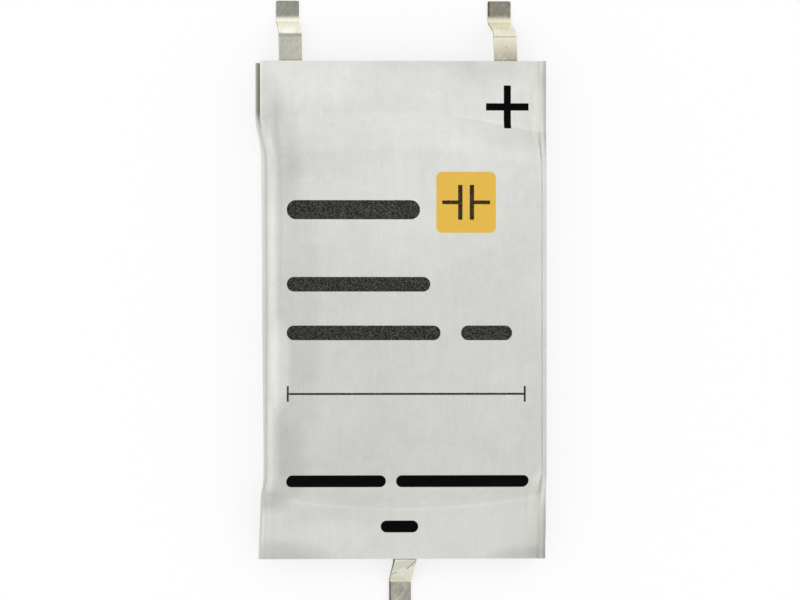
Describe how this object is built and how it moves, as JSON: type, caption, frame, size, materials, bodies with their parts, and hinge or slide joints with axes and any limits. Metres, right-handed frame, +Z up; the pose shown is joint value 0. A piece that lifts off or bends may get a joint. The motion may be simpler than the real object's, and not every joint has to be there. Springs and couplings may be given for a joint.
{
  "type": "supercapacitor",
  "caption": "Flat dual-cell pouch supercapacitor: stacked laminate pouches with sealed ends and bent strip terminals for soldering to a circuit board.",
  "frame": {"origin": "centre of the lower pouch's flat underside, midway along the pouches' length and width", "axes": "+Z up, away from the circuit board; +Y along the length, towards the positive and negative terminals; +X across, towards the positive terminal"},
  "size_m": [0.0166, 0.0346, 0.0027],
  "materials": {
    "laminate": "satin, brushed along the length",
    "terminal_metal": "plated, lightly scratched",
    "seal_polymer": "translucent, matte",
    "tape": "matte"
  },
  "bodies": {
    "root": {"upper_cell_pouch": "laminate", "lower_cell_pouch": "laminate", "bonding_tape": "tape", "positive_terminal": "terminal_metal", "negative_terminal": "terminal_metal", "upper_balance_terminal": "terminal_metal", "lower_balance_terminal": "terminal_metal", "positive_tab_seal": "seal_polymer", "negative_tab_seal": "seal_polymer", "upper_balance_tab_seal": "seal_polymer", "lower_balance_tab_seal": "seal_polymer"}
  },
  "joints": []
}
